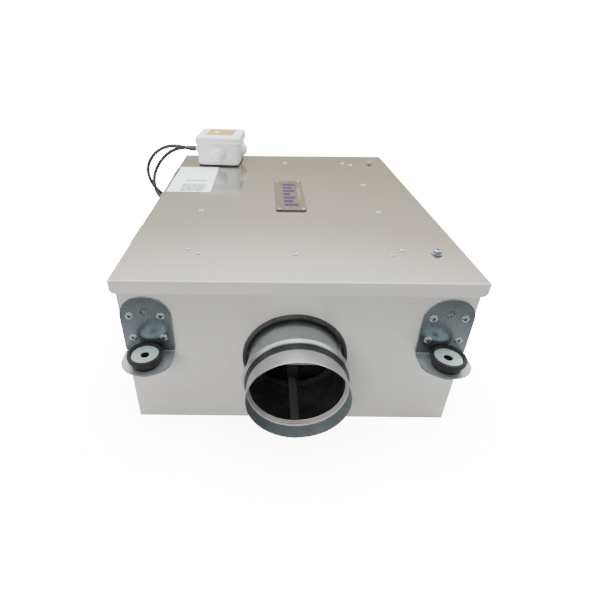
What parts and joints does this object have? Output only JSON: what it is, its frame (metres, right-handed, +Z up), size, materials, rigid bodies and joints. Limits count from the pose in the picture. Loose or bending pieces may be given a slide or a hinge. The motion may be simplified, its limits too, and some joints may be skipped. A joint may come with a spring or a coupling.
{
  "type": "heat recovery unit",
  "caption": "Flat galvanised in-line ventilation unit with a ceramic heat store, reversing fan, filters, hinged service lid, junction box and corner hanging brackets.",
  "frame": {"origin": "centre of the casing's flat underside", "axes": "+Z up towards the service lid, -Y out of the front spigot, +X to the right when facing the front spigot's wall"},
  "size_m": [0.5458, 0.721, 0.3],
  "materials": {
    "casing_zinc": "galvanised sheet, satin, warm grey",
    "bright_zinc": "zinc-plated sheet, bluish, fairly glossy",
    "hinge_steel": "bright zinc-plated steel",
    "rubber_black": "black moulded rubber",
    "foam_black": "black open-cell sound foam",
    "plate_aluminium": "brushed plate, champagne grey",
    "box_plastic": "light grey moulded plastic",
    "black_plastic": "black glass-filled plastic",
    "filter_card": "pale card frame",
    "filter_web": "white pleated filter web",
    "core_ceramic": "unglazed cordierite honeycomb",
    "cable_sheath": "black flexible cable sheath"
  },
  "bodies": {
    "casing": {"bracket_front_left": "bright_zinc", "bracket_front_right": "bright_zinc", "bracket_rear_left": "bright_zinc", "bracket_rear_right": "bright_zinc", "bulkhead_front": "casing_zinc", "bulkhead_rear": "casing_zinc", "cable_a": "cable_sheath", "cable_b": "cable_sheath", "cable_gland_a": "black_plastic", "cable_gland_b": "black_plastic", "casing_tray": "casing_zinc", "ceramic_core": "core_ceramic", "core_housing": "casing_zinc", "fan_bulkhead": "casing_zinc", "fan_housing": "black_plastic", "fan_stator": "black_plastic", "floor_foam_left": "foam_black", "floor_foam_right": "foam_black", "floor_rail": "casing_zinc", "front_end_foam": "foam_black", "front_filter_frame": "filter_card", "front_filter_media": "filter_web", "front_spigot": "bright_zinc", "front_spigot_seal": "rubber_black", "front_wall": "casing_zinc", "hinge_leaf_casing_front": "hinge_steel", "hinge_leaf_casing_rear": "hinge_steel", "hinge_pin_front": "hinge_steel", "hinge_pin_rear": "hinge_steel", "lid_gasket": "foam_black", "mount_disc_front_left": "bright_zinc", "mount_disc_front_right": "bright_zinc", "mount_disc_rear_left": "bright_zinc", "mount_disc_rear_right": "bright_zinc", "rear_end_foam": "foam_black", "rear_filter_frame": "filter_card", "rear_filter_media": "filter_web", "rear_spigot": "bright_zinc", "rear_spigot_seal": "rubber_black", "rear_wall": "casing_zinc", "rubber_mount_front_left": "rubber_black", "rubber_mount_front_right": "rubber_black", "rubber_mount_rear_left": "rubber_black", "rubber_mount_rear_right": "rubber_black", "side_foam_left": "foam_black", "side_foam_right": "foam_black"},
    "lid": {"lid": "casing_zinc", "lid_inner_pan": "casing_zinc", "lid_insulation": "foam_black", "lid_screw_front": "hinge_steel", "lid_screw_rear": "hinge_steel", "name_plate": "plate_aluminium", "hinge_leaf_lid_front": "hinge_steel", "hinge_leaf_lid_rear": "hinge_steel", "junction_base": "box_plastic", "junction_gasket": "rubber_black", "terminal_block": "box_plastic"},
    "junction_cover": {"junction_cover": "box_plastic"},
    "fan_rotor": {"impeller": "black_plastic", "fan_shaft": "hinge_steel"}
  },
  "joints": [
    {"name": "lid_hinge", "type": "hinge", "parent": "casing", "child": "lid", "pos_m": [-0.2335, 0, 0.215], "axis": [0, -1, 0], "range_deg": [0, 60], "deforming": ["cable_a", "cable_b"]},
    {"name": "junction_cover_lift", "type": "slide", "parent": "lid", "child": "junction_cover", "axis": [0, 0, 1], "range_m": [0, 0.06]},
    {"name": "fan_spin", "type": "hinge", "parent": "casing", "child": "fan_rotor", "pos_m": [0, -0.0072, 0.118], "axis": [0, 1, 0], "continuous": true}
  ]
}
